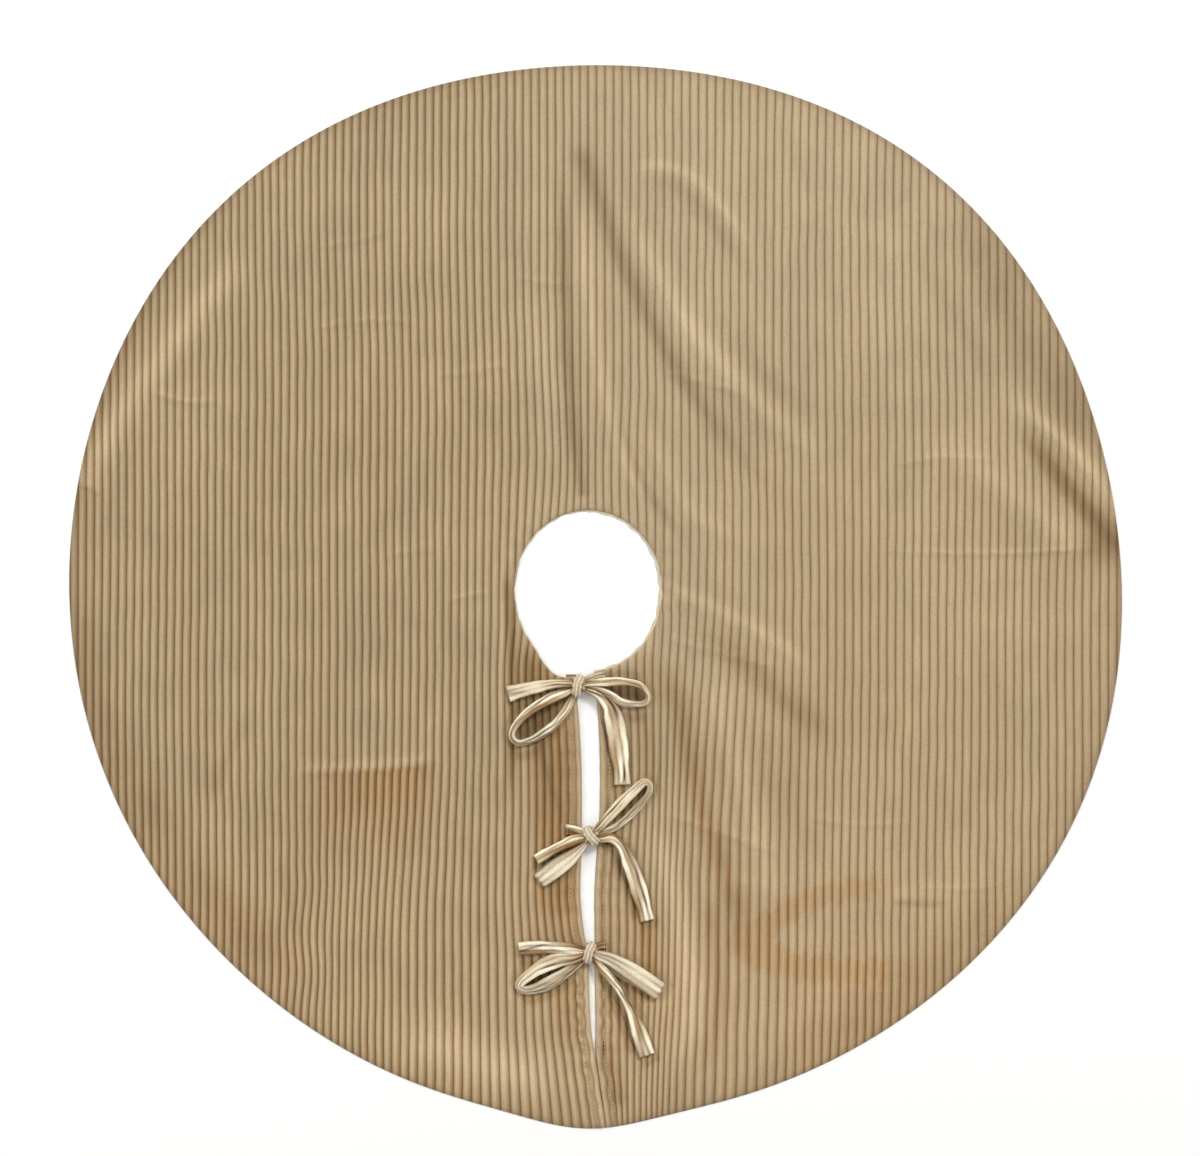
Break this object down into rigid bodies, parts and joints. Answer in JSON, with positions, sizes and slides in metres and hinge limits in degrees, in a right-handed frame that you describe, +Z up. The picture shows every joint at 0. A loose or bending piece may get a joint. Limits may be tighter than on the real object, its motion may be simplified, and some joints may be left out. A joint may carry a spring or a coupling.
{
  "type": "tree skirt",
  "caption": "Round velvet tree skirt with wide ribs, a centre hole and a slit to the rim closed by self-fabric bows, with a plain lining.",
  "frame": {"origin": "middle of the skirt's plan outline, on the floor it lies on", "axes": "+Z up out of the ribbed face, +Y along the ribs away from the slit, +X to the right seen from above with the slit towards you"},
  "size_m": [1.2153, 1.2271, 0.0189],
  "materials": {
    "velvet_face": "wide-wale ribbed velvet with a soft nap",
    "velvet_hem": "turned velvet hem, topstitched",
    "velvet_tie": "narrow ribbed velvet tube",
    "lining": "plain-weave lining",
    "facing": "plain-weave facing"
  },
  "bodies": {
    "skirt": {"face_panel": "velvet_face", "lining_panel": "lining", "rim_hem": "velvet_hem", "collar_facing": "facing"},
    "left_flap": {"left_face_panel": "velvet_face", "left_lining_panel": "lining", "left_rim_hem": "velvet_hem", "left_slit_hem": "velvet_hem", "left_collar_facing": "facing", "top_left_tie": "velvet_tie", "middle_left_tie": "velvet_tie", "bottom_left_tie": "velvet_tie"},
    "right_flap": {"right_face_panel": "velvet_face", "right_lining_panel": "lining", "right_rim_hem": "velvet_hem", "right_slit_hem": "velvet_hem", "right_collar_facing": "facing", "top_right_tie": "velvet_tie", "middle_right_tie": "velvet_tie", "bottom_right_tie": "velvet_tie"},
    "top_left_loop_ribbon": {"top_left_loop": "velvet_tie"},
    "top_left_tail_ribbon": {"top_left_tail": "velvet_tie"},
    "top_right_loop_ribbon": {"top_right_loop": "velvet_tie"},
    "top_right_tail_ribbon": {"top_right_tail": "velvet_tie"},
    "middle_left_loop_ribbon": {"middle_left_loop": "velvet_tie"},
    "middle_left_tail_ribbon": {"middle_left_tail": "velvet_tie"},
    "middle_right_loop_ribbon": {"middle_right_loop": "velvet_tie"},
    "middle_right_tail_ribbon": {"middle_right_tail": "velvet_tie"},
    "bottom_left_loop_ribbon": {"bottom_left_loop": "velvet_tie"},
    "bottom_left_tail_ribbon": {"bottom_left_tail": "velvet_tie"},
    "bottom_right_loop_ribbon": {"bottom_right_loop": "velvet_tie"},
    "bottom_right_tail_ribbon": {"bottom_right_tail": "velvet_tie"}
  },
  "joints": [
    {"name": "left_flap_fold", "type": "hinge", "parent": "skirt", "child": "left_flap", "pos_m": [-0.25451, -0.16539, 0.0035], "axis": [-0.8192, -0.5736, 0], "range_deg": [0, 120]},
    {"name": "right_flap_fold", "type": "hinge", "parent": "skirt", "child": "right_flap", "pos_m": [0.23699, -0.16539, 0.0035], "axis": [-0.8192, 0.5736, 0], "range_deg": [0, 120]},
    {"name": "top_left_loop_lift", "type": "hinge", "parent": "left_flap", "child": "top_left_loop_ribbon", "pos_m": [-0.02935, -0.10987, 0.0115], "axis": [-0.6626, 0.749, 0], "range_deg": [0, 35]},
    {"name": "top_left_tail_lift", "type": "hinge", "parent": "left_flap", "child": "top_left_tail_ribbon", "pos_m": [-0.03227, -0.10338, 0.0115], "axis": [-0.1219, 0.9925, 0], "range_deg": [0, 35]},
    {"name": "top_right_loop_lift", "type": "hinge", "parent": "right_flap", "child": "top_right_loop_ribbon", "pos_m": [-0.00841, -0.10296, 0.0115], "axis": [-0.0872, -0.9962, 0], "range_deg": [0, 35]},
    {"name": "top_right_tail_lift", "type": "hinge", "parent": "right_flap", "child": "top_right_tail_ribbon", "pos_m": [-0.01117, -0.10963, 0.0115], "axis": [-0.6428, -0.766, 0], "range_deg": [0, 35]},
    {"name": "middle_left_loop_lift", "type": "hinge", "parent": "left_flap", "child": "middle_left_loop_ribbon", "pos_m": [-0.0137, -0.28385, 0.0115], "axis": [-0.7193, 0.6947, 0], "range_deg": [0, 35]},
    {"name": "middle_left_tail_lift", "type": "hinge", "parent": "left_flap", "child": "middle_left_tail_ribbon", "pos_m": [-0.0169, -0.27852, 0.0115], "axis": [-0.2756, 0.9613, 0], "range_deg": [0, 35]},
    {"name": "middle_right_loop_lift", "type": "hinge", "parent": "right_flap", "child": "middle_right_loop_ribbon", "pos_m": [0.00356, -0.26719, 0.0115], "axis": [0.6691, -0.7431, 0], "range_deg": [0, 35]},
    {"name": "middle_right_tail_lift", "type": "hinge", "parent": "right_flap", "child": "middle_right_tail_ribbon", "pos_m": [0.00652, -0.27689, 0.0115], "axis": [-0.1392, -0.9903, 0], "range_deg": [0, 35]},
    {"name": "bottom_left_loop_lift", "type": "hinge", "parent": "left_flap", "child": "bottom_left_loop_ribbon", "pos_m": [-0.01775, -0.41485, 0.0115], "axis": [-0.4695, 0.8829, 0], "range_deg": [0, 35]},
    {"name": "bottom_left_tail_lift", "type": "hinge", "parent": "left_flap", "child": "bottom_left_tail_ribbon", "pos_m": [-0.01914, -0.40859, 0.0115], "axis": [0.0523, 0.9986, 0], "range_deg": [0, 35]},
    {"name": "bottom_right_loop_lift", "type": "hinge", "parent": "right_flap", "child": "bottom_right_loop_ribbon", "pos_m": [0.00353, -0.41466, 0.0115], "axis": [-0.454, -0.891, 0], "range_deg": [0, 35]},
    {"name": "bottom_right_tail_lift", "type": "hinge", "parent": "right_flap", "child": "bottom_right_tail_ribbon", "pos_m": [-0.00062, -0.41928, 0.0115], "axis": [-0.8387, -0.5446, 0], "range_deg": [0, 35]}
  ]
}
